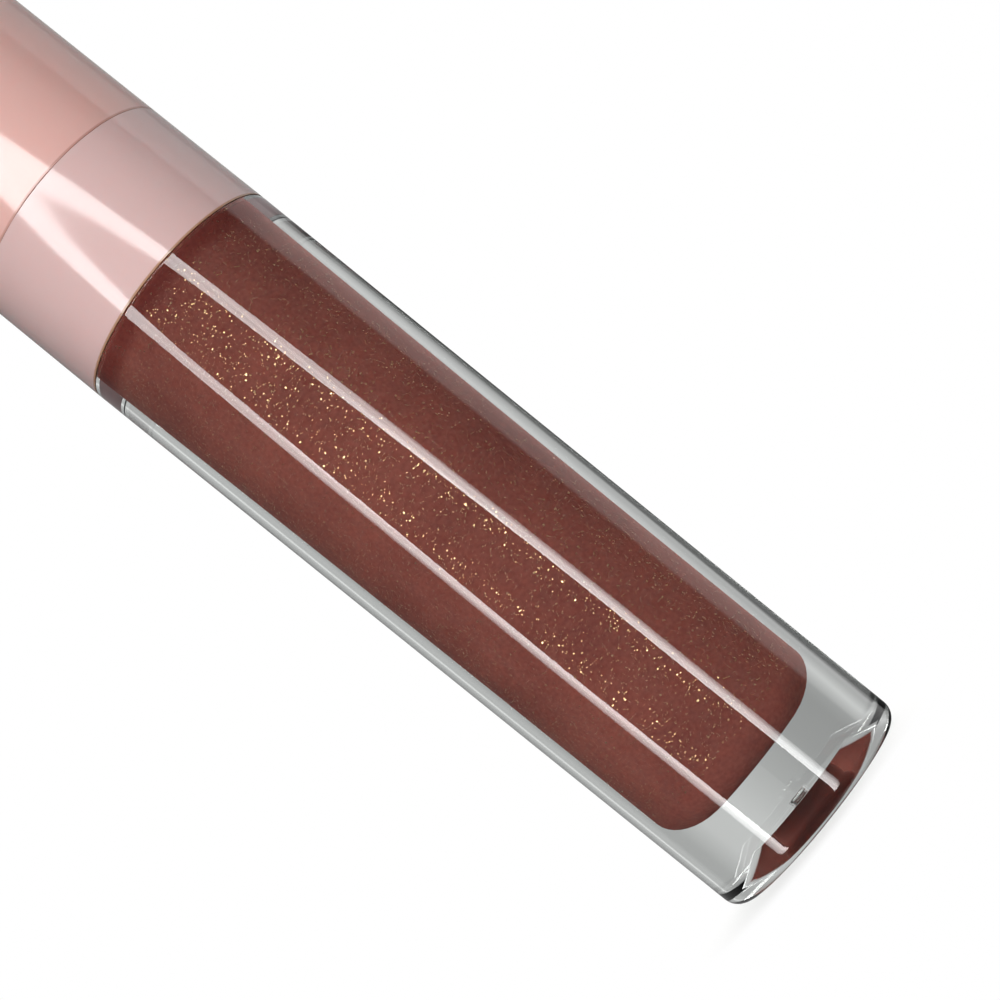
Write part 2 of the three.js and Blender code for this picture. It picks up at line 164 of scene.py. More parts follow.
floor_arc_r = cavity_r(FLOOR_Z + FLOOR_CORNER)
bottle_outline = rounded([
    (0, GATE_TOP),
    (GATE_R, GATE_TOP, 0.05),
    (GATE_R, WELL_TOP, 0.05),
    (WELL_SLOPE_R, WELL_TOP - WELL_SLOPE_DROP, 0.5),
    (WELL_R, PUNT_HEIGHT, 0.08),
    (PUNT_ROOF_R, PUNT_HEIGHT, PUNT_EDGE),
    (PUNT_R, 0, PUNT_EDGE),
    (FOOT_R, 0, FOOT_CORNER),
    (BODY_R, SIDE_TOP, SIDE_EDGE),
    (SEAT_R, SIDE_TOP),
    (SEAT_R, GROOVE_Z - GROOVE_HALF),
    (SEAT_R - GROOVE_DEPTH, GROOVE_Z - GROOVE_HALF + GROOVE_DEPTH),
    (SEAT_R - GROOVE_DEPTH, GROOVE_Z + GROOVE_HALF - GROOVE_DEPTH),
    (SEAT_R, GROOVE_Z + GROOVE_HALF),
    (SEAT_R, SEAT_TOP, 0.3),
    (NECK_R, SEAT_TOP, 0.2),
    *[(NECK_R, z) for z in THREAD_ROWS],
    (NECK_R, NECK_TOP, 0.3),
    (CAVITY_MOUTH_R, NECK_TOP, 0.15),
    (floor_arc_r, FLOOR_Z + 1.5 * FLOOR_CORNER),
    (cavity_r(FLOOR_Z), FLOOR_Z, FLOOR_CORNER),
    (0, FLOOR_Z),
])
bottle = turned("bottle_shell", bottle_outline, relief=neck_relief)


def colour(code):
    """An sRGB hex colour as linear RGBA: each channel c goes to ((c + 0.055) / 1.055) ^ 2.4, or c / 12.92 if dark."""
    c = np.array([int(code[i : i + 2], 16) / 255 for i in (1, 3, 5)])
    return (*np.where(c > 0.04045, ((c + 0.055) / 1.055) ** 2.4, c / 12.92), 1.0)


def add(tree, kind, inputs=None, **settings):
    """Adds a node of that kind with its settings. An input takes a value, or the socket or node that feeds it."""
    made = tree.nodes.new(kind)
    for key, value in settings.items():
        setattr(made, key, value)
    for key, value in (inputs or {}).items():
        if isinstance(value, bpy.types.Node):
            value = value.outputs[0]
        if isinstance(value, bpy.types.NodeSocket):
            tree.links.new(value, made.inputs[key])
        else:
            made.inputs[key].default_value = value
    return made


def new_material(name):
    """An empty node material."""
    made = bpy.data.materials.new(name)
    made.use_nodes = True
    made.node_tree.nodes.clear()
    return made, made.node_tree


def noise(tree, place, size, detail=2.0):
    """A cloudy pattern whose patches have a size in mm: its scale is 1 / size."""
    return add(tree, "ShaderNodeTexNoise", {"Vector": place, "Scale": 1 / (size * MM), "Detail": detail})


def blend(tree, share, low, high):
    """The colour that goes from low, where the share is 0, to high, where it is 1."""
    return add(tree, "ShaderNodeMix", {"Factor": share, 6: low, 7: high}, data_type="RGBA").outputs[2]


# Moulded PETG, mirror polished: clear with a breath of grey-green, a thick lens with hard bright edges.
# Lamps reach the gloss straight through it.
clear_petg, tree = new_material("clear PETG, mirror polished")
place = add(tree, "ShaderNodeTexCoord").outputs["Object"]
sink = noise(tree, place, 6, 1.0)
sink_bump = add(tree, "ShaderNodeBump", {"Height": sink, "Strength": 0.016, "Distance": 0.05 * MM})
petg = add(tree, "ShaderNodeBsdfPrincipled", {
    "Base Color": colour("#FAFDFB"),
    "Roughness": 0.0,
    "IOR": 1.57,
    "Transmission Weight": 1.0,
    "Normal": sink_bump,
})
straight = add(tree, "ShaderNodeBsdfTransparent", {"Color": colour("#FBFDFC")})
is_shadow = add(tree, "ShaderNodeLightPath").outputs["Is Shadow Ray"]
mixed = add(tree, "ShaderNodeMixShader", {0: is_shadow, 1: petg, 2: straight})
add(tree, "ShaderNodeOutputMaterial", {"Surface": mixed})
bottle.data.materials.append(clear_petg)
# The seat under the collar: its grey-mauve is painted shade, for the ring's dark as seen through the wall.
# Some pink light soaks through it to the gloss, dimmed so that the gloss by the collar's edge lies in shade.
painted_shade_seat, tree = new_material("PETG seat, painted collar shade")
place = add(tree, "ShaderNodeTexCoord").outputs["Object"]
cloud = noise(tree, place, 1.5, 2.0)
tone = blend(tree, cloud, colour("#5C5254"), colour("#665B5D"))
shade = add(tree, "ShaderNodeBsdfTranslucent", {"Color": tone})
soaked = add(tree, "ShaderNodeBsdfTransparent", {"Color": colour("#CBAEAE")})
is_shadow = add(tree, "ShaderNodeLightPath").outputs["Is Shadow Ray"]
mixed = add(tree, "ShaderNodeMixShader", {0: is_shadow, 1: shade, 2: soaked})
add(tree, "ShaderNodeOutputMaterial", {"Surface": mixed})
bottle.data.materials.append(painted_shade_seat)
middle = np.empty(3 * len(bottle.data.polygons), np.float32)
bottle.data.polygons.foreach_get("center", middle)
middle = middle.reshape(-1, 3) / MM
middle_r, middle_z = np.hypot(middle[:, 0], middle[:, 1]), middle[:, 2]
seated = (middle_z > SHADED_SEAT_LOW) & (middle_z < SEAT_TOP) & (middle_r > SHADED_SEAT_INNER_R)
bottle.data.polygons.foreach_set("material_index", seated.astype(np.int32))
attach(bottle, "tube")
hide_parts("bottle")

# Gloss: a thick brown mauve oil with mica and gold glitter. It wets the wall, so there is no edge between it and
# the clear plastic, and it fills the cavity to a level behind the collar.
GLOSS_LEVEL, WETTING = 57.1, 0.02
POCKET_R, POCKET_FLOOR = 2.3, 6.3
POCKET_CORNER = POCKET_R * 0.99
gloss_outline = rounded([
    (0, FLOOR_Z - WETTING),
    (cavity_r(FLOOR_Z) + WETTING, FLOOR_Z - WETTING, FLOOR_CORNER + WETTING),
    (cavity_r(GLOSS_LEVEL) + WETTING, GLOSS_LEVEL),
    (POCKET_R, GLOSS_LEVEL),
    (POCKET_R, POCKET_FLOOR, POCKET_CORNER),
    (0, POCKET_FLOOR),
])
gloss = turned("gloss", gloss_outline)
# Pigmented gloss with mica: deep brown with a soft pearl glow, and a mottle about a quarter of a millimetre across.
brown_gloss, tree = new_material("brown lip gloss with mica")
place = add(tree, "ShaderNodeTexCoord").outputs["Object"]
mottle = noise(tree, place, 0.25, 3.0)
cloud = noise(tree, place, 7, 2.0)
both = add(tree, "ShaderNodeMath", {0: mottle, 1: cloud}, operation="ADD")
spread = add(tree, "ShaderNodeMapRange", {"Value": both, "From Min": 0.7, "From Max": 1.3})
pigment = blend(tree, spread, colour("#713F39"), colour("#894F46"))
mica = add(tree, "ShaderNodeBsdfPrincipled", {
    "Base Color": pigment,
    "Roughness": 0.5,
    "Specular IOR Level": 0.0,
    "Subsurface Weight": 1.0,
    "Subsurface Radius": (1.0, 0.45, 0.4),
    "Subsurface Scale": 0.7 * MM,
})
add(tree, "ShaderNodeOutputMaterial", {"Surface": mica})
gloss.data.materials.append(brown_gloss)
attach(gloss, "tube")
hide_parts("gloss_fill")

# Glitter: three-cornered foil flakes about a twentieth of a millimetre across, that settle flat against the wall and
# flash together. Each is a closed body, as thin as foil.
FLAKES, FLAKE_REACH, FLAKE_SPREAD, FLAKE_SIZES = 24000, 0.031, 0.4, (0.5, 2.5)
FLAKE_DEPTHS, FLAKE_TOP, FLAKE_THICKNESS = (0.03, 0.08), SIDE_TOP + 0.5, 0.0004
FLAKE_TILT, FLAKE_TILT_END = [[3.0], [2.4]], 12
CORNER_SWING, CORNER_REACH = 0.6, (0.7, 1.3)


def unit(vectors):
    """Vectors, one to a row, divided by their lengths."""
    return vectors / np.linalg.norm(vectors, axis=1, keepdims=True)


def scattered(name, corners, faces):
    """One mesh object of many small closed bodies: the four corners of each in mm, and the faces of one."""
    every = np.array(faces)[None] + 4 * np.arange(len(corners))[:, None, None]
    return mesh_object(name, corners * MM, every.reshape(-1, 3).tolist())


rng = np.random.default_rng(7)
around = rng.uniform(0, 2 * np.pi, FLAKES)
up = rng.uniform(FLOOR_Z + FLOOR_CORNER, FLAKE_TOP, FLAKES)
depth = rng.uniform(*FLAKE_DEPTHS, FLAKES)
across = FLAKE_REACH * rng.lognormal(0.0, FLAKE_SPREAD, FLAKES).clip(*FLAKE_SIZES)
lean = np.radians(rng.normal(0, FLAKE_TILT, (2, FLAKES)).clip(-FLAKE_TILT_END, FLAKE_TILT_END))
out = np.stack([np.cos(around), np.sin(around), 0 * around], axis=1)
side = np.stack([-np.sin(around), np.cos(around), 0 * around], axis=1)
top = np.array([0, 0, 1.0])
facing = unit(out + side * np.tan(lean[0])[:, None] + top * np.tan(lean[1])[:, None])
first = unit(np.cross(top, facing))
second = np.cross(facing, first)
spin = rng.uniform(0, 2 * np.pi, (FLAKES, 1)) + np.arange(3) * 2 * np.pi / 3
spin = spin + rng.uniform(-CORNER_SWING, CORNER_SWING, (FLAKES, 3))
reach = across[:, None] * rng.uniform(*CORNER_REACH, (FLAKES, 3))
centre = out * (cavity_r(up) + WETTING + depth)[:, None] + top * up[:, None]
rim = centre[:, None] + reach[..., None] * (
    np.cos(spin)[..., None] * first[:, None] + np.sin(spin)[..., None] * second[:, None]
)
inner_tip = (centre - FLAKE_THICKNESS * facing)[:, None]
flakes = np.concatenate([rim, inner_tip], axis=1)
glitter = scattered("glitter", flakes, [[0, 1, 2], [1, 0, 3], [2, 1, 3], [0, 2, 3]])
# Gold metallised polyester foil, thin enough for the gloss to show through: a warm flash, and none of it dark.
gold_foil, tree = new_material("gold metallised foil")
place = add(tree, "ShaderNodeTexCoord").outputs["Object"]
patch = noise(tree, place, 0.2)
tone = blend(tree, patch, colour("#B48C5C"), colour("#DCBE92"))
foil = add(tree, "ShaderNodeBsdfPrincipled", {"Base Color": tone, "Metallic": 0.85, "Roughness": 0.12})
add(tree, "ShaderNodeOutputMaterial", {"Surface": foil})
glitter.data.materials.append(gold_foil)
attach(glitter, "tube")

# Collar: a glossy ABS ring that snaps over the bottle's shoulder and hides the gloss's level. It is moulded in a
# greyer pink than the cap.
COLLAR_LOW, COLLAR_TOP = 53.19, 62.49
COLLAR_BORE, COLLAR_HOLE, COLLAR_FLANGE, COLLAR_CHAMFER = 7.25, 6.25, 1.0, 0.4
OUTER_EDGE = 0.03
# Where the painted shade along a lower edge is full and where it ends, in mm above the edge.
EDGE_SHADE_FULL, EDGE_SHADE_END = 0.1, 0.18
GLOW_R, GLOW_END_R, GLOW_SHARE = 7.7, 7.9, 0.85
collar_outline = rounded([
    (COLLAR_BORE + COLLAR_CHAMFER, COLLAR_LOW),
    (BODY_R, COLLAR_LOW, OUTER_EDGE),
    (BODY_R, COLLAR_TOP, OUTER_EDGE),
    (COLLAR_HOLE, COLLAR_TOP),
    (COLLAR_HOLE, COLLAR_TOP - COLLAR_FLANGE),
    (COLLAR_BORE, COLLAR_TOP - COLLAR_FLANGE),
    (COLLAR_BORE, GROOVE_Z + GROOVE_HALF),
    (COLLAR_BORE - GROOVE_DEPTH, GROOVE_Z + GROOVE_HALF - GROOVE_DEPTH),
    (COLLAR_BORE - GROOVE_DEPTH, GROOVE_Z - GROOVE_HALF + GROOVE_DEPTH),
    (COLLAR_BORE, GROOVE_Z - GROOVE_HALF),
    (COLLAR_BORE, COLLAR_LOW + COLLAR_CHAMFER),
])
collar = turned("collar_ring", collar_outline)


def moulded_gloss(name, low, high, edge_shade, edge, roof):
    """Injection-moulded ABS with a polished skin: its colour drifts a little between low and high over some
    millimetres, the skin is not quite even, and its gloss varies slightly. A line a seventh of a millimetre wide
    along its lower edge, at the height edge, is painted in the darker edge colour: painted shade where the edge
    meets the part below. The wall's inner side, up to the height roof, glows with the light that soaks through it."""
    made, tree = new_material(name)
    place = add(tree, "ShaderNodeTexCoord").outputs["Object"]
    drift = noise(tree, place, 5, 2.0)
    tone = blend(tree, drift, colour(low), colour(high))
    up = add(tree, "ShaderNodeSeparateXYZ", {0: place}).outputs["Z"]
    rim = add(tree, "ShaderNodeMapRange", {
        "Value": up,
        "From Min": (edge + EDGE_SHADE_FULL) * MM, "From Max": (edge + EDGE_SHADE_END) * MM,
        "To Min": 1.0, "To Max": 0.0,
    })
    tone = blend(tree, rim, tone, colour(edge_shade))
    grain = noise(tree, place, 0.35, 2.0)
    rough = add(tree, "ShaderNodeMapRange", {"Value": grain, "To Min": 0.06, "To Max": 0.09})
    skin = add(tree, "ShaderNodeBump", {"Height": grain, "Strength": 0.05, "Distance": 0.01 * MM})
    plastic = add(tree, "ShaderNodeBsdfPrincipled", {
        "Base Color": tone,
        "Roughness": rough,
        "IOR": 1.54,
        "Subsurface Weight": 0.25,
        "Subsurface Radius": (1.0, 0.55, 0.5),
        "Subsurface Scale": 0.8 * MM,
        "Normal": skin,
    })
    level = add(tree, "ShaderNodeVectorMath", {0: place, 1: (1.0, 1.0, 0.0)}, operation="MULTIPLY")
    radius = add(tree, "ShaderNodeVectorMath", {0: level}, operation="LENGTH").outputs["Value"]
    inner = add(tree, "ShaderNodeMapRange", {
        "Value": radius, "From Min": GLOW_R * MM, "From Max": GLOW_END_R * MM, "To Min": GLOW_SHARE, "To Max": 0.0,
    })
    under_roof = add(tree, "ShaderNodeMath", {0: up, 1: roof * MM}, operation="LESS_THAN")
    share = add(tree, "ShaderNodeMath", {0: inner, 1: under_roof}, operation="MULTIPLY")
    soaked = add(tree, "ShaderNodeBsdfTranslucent", {"Color": tone})
    wall = add(tree, "ShaderNodeMixShader", {0: share, 1: plastic, 2: soaked})
    add(tree, "ShaderNodeOutputMaterial", {"Surface": wall})
    return made


# Greyed pink ABS: a hard, wet-looking gloss over a milky body, with painted shade in brown along its lower edge.
collar.data.materials.append(moulded_gloss(
    "greyed pink ABS, polished", "#DDBBB8", "#E1BFBC", "#B98B6E", COLLAR_LOW, COLLAR_TOP - COLLAR_FLANGE / 2
))
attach(collar, "tube")
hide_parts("collar")
# The clear wall bends the key light up under the collar's edge, so the collar throws no straight shadow.
collar.visible_shadow = False

# Wiper: a soft LDPE sleeve pushed into the neck. Two beads grip the bore, the flange lies on the rim, and a funnel
# leads to the lip that scrapes the wand.
WIPER_FLANGE_R, WIPER_FLANGE_LOW, WIPER_TOP = 5.65, 74.15, 74.95
SLEEVE_R, SLEEVE_BORE, SLEEVE_END, FUNNEL_TOP = 4.545, 3.945, 65.45, 68.85
LIP_BORE, LIP_R, LIP_HEIGHT = 2.25, 2.7, 0.5
BEAD_LOW, BEAD_HIGH, BEAD_HALF, BEAD_FIT = 70.35, 71.85, 0.25, 0.1
wiper_outline = rounded([
    (LIP_BORE, SLEEVE_END, 0.1),
    (LIP_R, SLEEVE_END, 0.15),
    (SLEEVE_R, FUNNEL_TOP, 1.2),
    (SLEEVE_R, BEAD_LOW - BEAD_HALF),
    (cavity_r(BEAD_LOW) - BEAD_FIT, BEAD_LOW, 0.08),
    (SLEEVE_R, BEAD_LOW + BEAD_HALF),
    (SLEEVE_R, BEAD_HIGH - BEAD_HALF),
    (cavity_r(BEAD_HIGH) - BEAD_FIT, BEAD_HIGH, 0.08),
    (SLEEVE_R, BEAD_HIGH + BEAD_HALF),
    (SLEEVE_R, WIPER_FLANGE_LOW, 0.1),
    (WIPER_FLANGE_R, WIPER_FLANGE_LOW, 0.12),
    (WIPER_FLANGE_R, WIPER_TOP, 0.2),
    (SLEEVE_BORE, WIPER_TOP, 0.35),
    (SLEEVE_BORE, FUNNEL_TOP + 0.6, 1.2),
    (LIP_BORE, SLEEVE_END + LIP_HEIGHT, 0.3),
])
wiper = turned("wiper_sleeve", wiper_outline, turns=192)


def soiled(tree, place, clean, dirty, low, high):
    """The colour of a clean surface under a dirty film, which covers most of it at the height low and none of it at
    the height high, in mm, and thins between them in upright streaks a millimetre wide."""
    up = add(tree, "ShaderNodeSeparateXYZ", {0: place}).outputs["Z"]
    level = add(tree, "ShaderNodeMapRange", {
        "Value": up, "From Min": low * MM, "From Max": high * MM, "To Min": 0.75, "To Max": -0.1,
    })
    drawn = add(tree, "ShaderNodeVectorMath", {0: place, 1: (1.0, 1.0, 0.15)}, operation="MULTIPLY")
    spots = noise(tree, drawn, 0.9, 4.0)
    both = add(tree, "ShaderNodeMath", {0: level, 1: spots}, operation="ADD")
    share = add(tree, "ShaderNodeMapRange", {"Value": both, "From Min": 0.6, "From Max": 0.95})
    return blend(tree, share, clean, dirty)


# Natural LDPE, moulded: soft and milky with a satin skin, under a brown film where the wand drags gloss over it.
milky_ldpe, tree = new_material("natural LDPE with a film of gloss")
place = add(tree, "ShaderNodeTexCoord").outputs["Object"]
film = soiled(tree, place, colour("#ECE7E0"), colour("#8A5045"), 65.4, 71.0)
grain = noise(tree, place, 0.15, 3.0)
satin = add(tree, "ShaderNodeMapRange", {"Value": grain, "To Min": 0.28, "To Max": 0.42})
skin = add(tree, "ShaderNodeBump", {"Height": grain, "Strength": 0.15, "Distance": 0.01 * MM})
ldpe = add(tree, "ShaderNodeBsdfPrincipled", {
    "Base Color": film,
    "Roughness": satin,
    "IOR": 1.51,
    "Subsurface Weight": 0.7,
    "Subsurface Radius": (1.0, 0.8, 0.7),
    "Subsurface Scale": 1.2 * MM,
    "Normal": skin,
})
add(tree, "ShaderNodeOutputMaterial", {"Surface": ldpe})
wiper.data.materials.append(milky_ldpe)
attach(wiper, "tube")
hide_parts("wiper")

# Sealing ring: a washer punched from expanded polyethylene sheet. The wiper's flange has pressed a shallow step into
# its underside.
RING_R, RING_HOLE, RING_LOW, RING_TOP = 5.65, 2.6, 75.05, 76.05
STEP_R, STEP_DEPTH = 3.9, 0.06
ring_outline = rounded([
    (RING_HOLE, RING_LOW, 0.1),
    (STEP_R, RING_LOW, 0.05),
    (STEP_R + 0.15, RING_LOW + STEP_DEPTH, 0.05),
    (RING_R, RING_LOW + STEP_DEPTH, 0.12),
    (RING_R, RING_TOP, 0.08),
    (RING_HOLE, RING_TOP, 0.08),
])


def punched_edge(a, r, z):
    """The punched faces bulge by up to a fiftieth of a millimetre: a sum of three waves in the turn a."""
    return 0.01 * (np.sin(5 * a + 1) + np.sin(11 * a + 2) * 0.6 + np.sin(23 * a) * 0.4) + 0 * z


sealing_ring = turned("foam_ring", ring_outline, turns=192, relief=punched_edge)
# Expanded polyethylene: white closed cells a sixth of a millimetre wide, matt, with a soft skin.
cell_foam, tree = new_material("expanded polyethylene foam")
place = add(tree, "ShaderNodeTexCoord").outputs["Object"]
cells = add(tree, "ShaderNodeTexVoronoi", {"Vector": place, "Scale": 1 / (0.16 * MM)}, feature="SMOOTH_F1")
wall = add(tree, "ShaderNodeMapRange", {"Value": cells.outputs["Distance"], "From Min": 0.15, "From Max": 0.7})
tone = blend(tree, wall, colour("#DEDBD6"), colour("#F4F2EE"))
pits = add(tree, "ShaderNodeBump", {"Height": wall, "Strength": 0.6, "Distance": 0.03 * MM})
foam = add(tree, "ShaderNodeBsdfPrincipled", {
    "Base Color": tone,
    "Roughness": 0.7,
    "IOR": 1.45,
    "Subsurface Weight": 0.5,
    "Subsurface Radius": (1.0, 0.9, 0.85),
    "Subsurface Scale": 0.6 * MM,
    "Normal": pits,
})
add(tree, "ShaderNodeOutputMaterial", {"Surface": foam})
sealing_ring.data.materials.append(cell_foam)
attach(sealing_ring, "seal")
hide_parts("sealing_ring")

# Inner cap: the moulded screw liner. Upright ribs bite into the outer cap's bore, the skirt carries the thread, and
# the boss on its roof is the socket that grips the stem.
LINER_R, LINER_BORE, LINER_LOW, LINER_ROOF, LINER_SHOULDER = 7.25, 6.6, 63.1, 76.15, 77.95
SOCKET_R, SOCKET_TOP, BOSS_R, BOSS_TOP = 2.0, 84.15, 3.5, 85.35
RIBS, RIB_HEIGHT, RIB_CREST, RIB_FOOT = 24, 0.15, 0.5, 0.86
RIB_LOW, RIB_TOP, RIB_RAMP = 64.3, 76.75, 0.12
BORE_TOP = LINER_ROOF - 0.6
BORE_ROWS = np.arange(74.6, 64.5, -0.15)
LINER_THREAD_START, LINER_THREAD_HEIGHT = 66.4, 0.06


def liner_relief(a, r, z):
    """Outside, ribs: with s the distance round the skirt from the nearest of RIBS evenly spaced lines, the height
    rises from nothing at half RIB_FOOT to full at half RIB_CREST. Inside, the thread stands towards the axis."""
    pitch = 2 * np.pi / RIBS
    s = np.abs(a - pitch * np.round(a / pitch)) * LINER_R
    rib = RIB_HEIGHT * np.clip((RIB_FOOT / 2 - s) / (RIB_FOOT / 2 - RIB_CREST / 2), 0, 1)
    rib = rib * np.clip((z - RIB_LOW) / RIB_RAMP, 0, 1) * np.clip((RIB_TOP - z) / RIB_RAMP, 0, 1)
    thread = screw_thread(a, z, LINER_THREAD_START, LINER_THREAD_HEIGHT)
    outside = np.abs(r - LINER_R) < ON_FACE
    inside = (np.abs(r - LINER_BORE) < ON_FACE) & (z < BORE_TOP)
    return np.where(outside, rib, 0) - np.where(inside, thread, 0)


liner_outline = rounded([
    (0, SOCKET_TOP),
    (SOCKET_R, SOCKET_TOP, 0.15),
    (SOCKET_R, LINER_ROOF, 0.2),
    (LINER_BORE, LINER_ROOF, 0.35),
    *[(LINER_BORE, z) for z in BORE_ROWS],
    (LINER_BORE, LINER_LOW + 0.35),
    (LINER_BORE + 0.3, LINER_LOW, 0.08),
    (LINER_R, LINER_LOW, 0.1),
    *[(LINER_R, z) for z in (RIB_LOW, RIB_LOW + RIB_RAMP, RIB_TOP - RIB_RAMP, RIB_TOP)],
    (LINER_R, LINER_SHOULDER, 0.4),
    (BOSS_R, LINER_SHOULDER, 0.6),
    (BOSS_R, BOSS_TOP, 0.3),
    (0, BOSS_TOP),
])
inner_cap = turned("liner", liner_outline, turns=480, relief=liner_relief)


def moulded_pp(tree, place, tone_socket, radius):
    """Natural polypropylene on a tree that already has its colour: a waxy skin over a milky, translucent body."""
    grain = noise(tree, place, 0.2, 3.0)
    waxy = add(tree, "ShaderNodeMapRange", {"Value": grain, "To Min": 0.22, "To Max": 0.34})
    skin = add(tree, "ShaderNodeBump", {"Height": grain, "Strength": 0.12, "Distance": 0.01 * MM})
    plastic = add(tree, "ShaderNodeBsdfPrincipled", {
        "Base Color": tone_socket,
        "Roughness": waxy,
        "IOR": 1.49,
        "Subsurface Weight": 0.6,
        "Subsurface Radius": (1.0, 0.75, 0.65),
        "Subsurface Scale": radius * MM,
        "Normal": skin,
    })
    add(tree, "ShaderNodeOutputMaterial", {"Surface": plastic})


# White polypropylene: milky and waxy, a little yellower where it flowed last.
white_pp, tree = new_material("white polypropylene, moulded")
place = add(tree, "ShaderNodeTexCoord").outputs["Object"]
flow = noise(tree, place, 4, 2.0)
tone = blend(tree, flow, colour("#EAE3DC"), colour("#F3EFEA"))
moulded_pp(tree, place, tone, 0.8)
inner_cap.data.materials.append(white_pp)
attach(inner_cap, "cap")
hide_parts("inner_cap")

# Outer cap: a glossy ABS sleeve, moulded with a closed top and a slightly rounded edge round it. The screw liner is
# pressed into its bore, so that the two turn as one.
CAP_LOW, CAP_TOP = 62.51, 105.55
CAP_BORE, CAP_ROOF, CAP_TOP_EDGE, CAP_CHAMFER = 7.5, 1.8, 0.8, 0.3
cap_outline = rounded([
    (0, CAP_TOP - CAP_ROOF),
    (CAP_BORE, CAP_TOP - CAP_ROOF, 1.0),
    (CAP_BORE, CAP_LOW + CAP_CHAMFER),
    (CAP_BORE + CAP_CHAMFER, CAP_LOW),
    (BODY_R, CAP_LOW, OUTER_EDGE),
    (BODY_R, CAP_TOP, CAP_TOP_EDGE),
    (0, CAP_TOP),
])
outer_cap = turned("cap_shell", cap_outline)
# Peach pink ABS: the same polish over a warmer colour, with painted shade along its lower edge at the seam.
outer_cap.data.materials.append(moulded_gloss(
    "peach pink ABS, polished", "#E6B6AE", "#EABBB3", "#CE9A8E", CAP_LOW, CAP_TOP - CAP_ROOF / 2
))
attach(outer_cap, "cap")
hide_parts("outer_cap")

# Stem: a moulded polypropylene rod with a slight draft. Three barbs hold it in the liner's socket, and a blind hole
# in its end takes the applicator's shank.
STEM_LOW, STEM_TOP, STEM_TIP_R, STEM_R = 22.0, 84.05, 1.75, 1.9
HOLE_R, HOLE_TOP = 1.05, 26.6
BARB_FIRST, BARB_PITCH, BARB_HEIGHT, BARBS = 79.85, 1.4, 0.06, 3
barb_points = [
    (STEM_R + rise, BARB_FIRST + BARB_PITCH * i + up)
    for i in range(BARBS)
    for rise, up in ((0, 0), (BARB_HEIGHT, BARB_HEIGHT), (0, BARB_PITCH / 2))
]
stem_outline = rounded([
    (0, HOLE_TOP),
    (HOLE_R, HOLE_TOP, 0.1),
    (HOLE_R, STEM_LOW, 0.06),
    (STEM_TIP_R, STEM_LOW, 0.2),
    (STEM_R, LINER_ROOF),
    *barb_points,
    (STEM_R, STEM_TOP, 0.3),
    (0, STEM_TOP),
])
stem = turned("stem_rod", stem_outline, turns=128)
# Natural polypropylene: clear enough to glow, with a wiped film of gloss that thins towards the cap.
filmed_pp, tree = new_material("natural polypropylene with a film of gloss")
place = add(tree, "ShaderNodeTexCoord").outputs["Object"]
film = soiled(tree, place, colour("#E9DDD5"), colour("#8E5448"), 20.0, 66.0)
moulded_pp(tree, place, film, 1.0)
stem.data.materials.append(filmed_pp)
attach(stem, "cap")
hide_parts("wand_stem")

# Applicator: a moulded doe-foot tip with one slanted face, covered in nylon flock by static charge and soaked in
# gloss. Its shank is pressed into the stem.
TIP_R, TIP_LOW, TIP_TOP = 2.05, 7.5, 21.9
SHANK_R, SHANK_TOP = 0.95, 26.4
TIP_WAY = [0, 0.05, 0.14, 0.24, 0.34, 0.44, 0.54, 0.64, 0.74, 0.82, 0.89, 0.94, 0.975, 1]
TIP_SHARE = [0.85, 0.86, 0.88, 0.92, 0.97, 1, 1, 0.99, 0.96, 0.91, 0.84, 0.74, 0.6, 0.36]
TIP_TURNS, TIP_LEAST_R = 96, 0.05
FACE_START, FACE_END, FACE_BLEND = 0.28, -0.15, 0.004
BACK, BACK_RAMP = 0.8, 12
PILE = 0.13
tip_way = np.concatenate([np.linspace(0, 0.88, 56), np.linspace(0.885, 1, 24)])


def tip_grid(way, turn, inset):
    """Points of the tip at shares way of its length and turns a: a circle of the radius that TIP_SHARE gives, less
    the inset, moved back by BACK times its narrowing where the face has begun, and cut by the slanted face: x is the
    smaller of shift + radius cos a and the face's place, with the edge between them softened by FACE_BLEND."""
    radius = TIP_R * np.interp(way, TIP_WAY, TIP_SHARE)
    along = np.clip((way - FACE_START) / (1 - FACE_START), 0, 1)
    face = TIP_R * (1 + (FACE_END - 1) * along) - inset
    shift = np.where(along > 0, BACK * (radius - TIP_R) * np.minimum(along * BACK_RAMP, 1), 0)
    reach = np.maximum(radius - inset, TIP_LEAST_R)
    x = shift + reach * np.cos(turn)
    x = face - np.sqrt((face - x) ** 2 + FACE_BLEND) / 2 + (x - face) / 2
    return np.stack([x, reach * np.sin(turn), TIP_TOP - (TIP_TOP - TIP_LOW - inset) * way + 0 * turn], axis=-1)


tip_a = np.linspace(0, 2 * np.pi, TIP_TURNS, endpoint=False)
tip_skin = tip_grid(tip_way[:, None], tip_a[None, :], PILE)
shank_z = np.array([SHANK_TOP, SHANK_TOP, SHANK_TOP - 0.1, TIP_TOP, TIP_TOP])[:, None]
shank_r = np.array([0.0, SHANK_R - 0.1, SHANK_R, SHANK_R, SHANK_R + 0.4])[:, None]
shank = np.stack([shank_r * np.cos(tip_a), shank_r * np.sin(tip_a), shank_z + 0 * tip_a], axis=-1)
end_pole = np.repeat(tip_skin[-1:].mean(axis=1, keepdims=True), TIP_TURNS, axis=1)
tip_rows = np.concatenate([shank, tip_skin, end_pole])
index = np.arange(tip_rows.shape[0] * TIP_TURNS).reshape(tip_rows.shape[:2])
index[0], index[-1] = index[0, 0], index[-1, 0]
quads = np.stack([
    index[1:], np.roll(index[1:], -1, axis=1), np.roll(index[:-1], -1, axis=1), index[:-1],
], axis=2).reshape(-1, 4)
applicator = surface("flock_tip", tip_rows.reshape(-1, 3) * MM, quads, sharp=60)
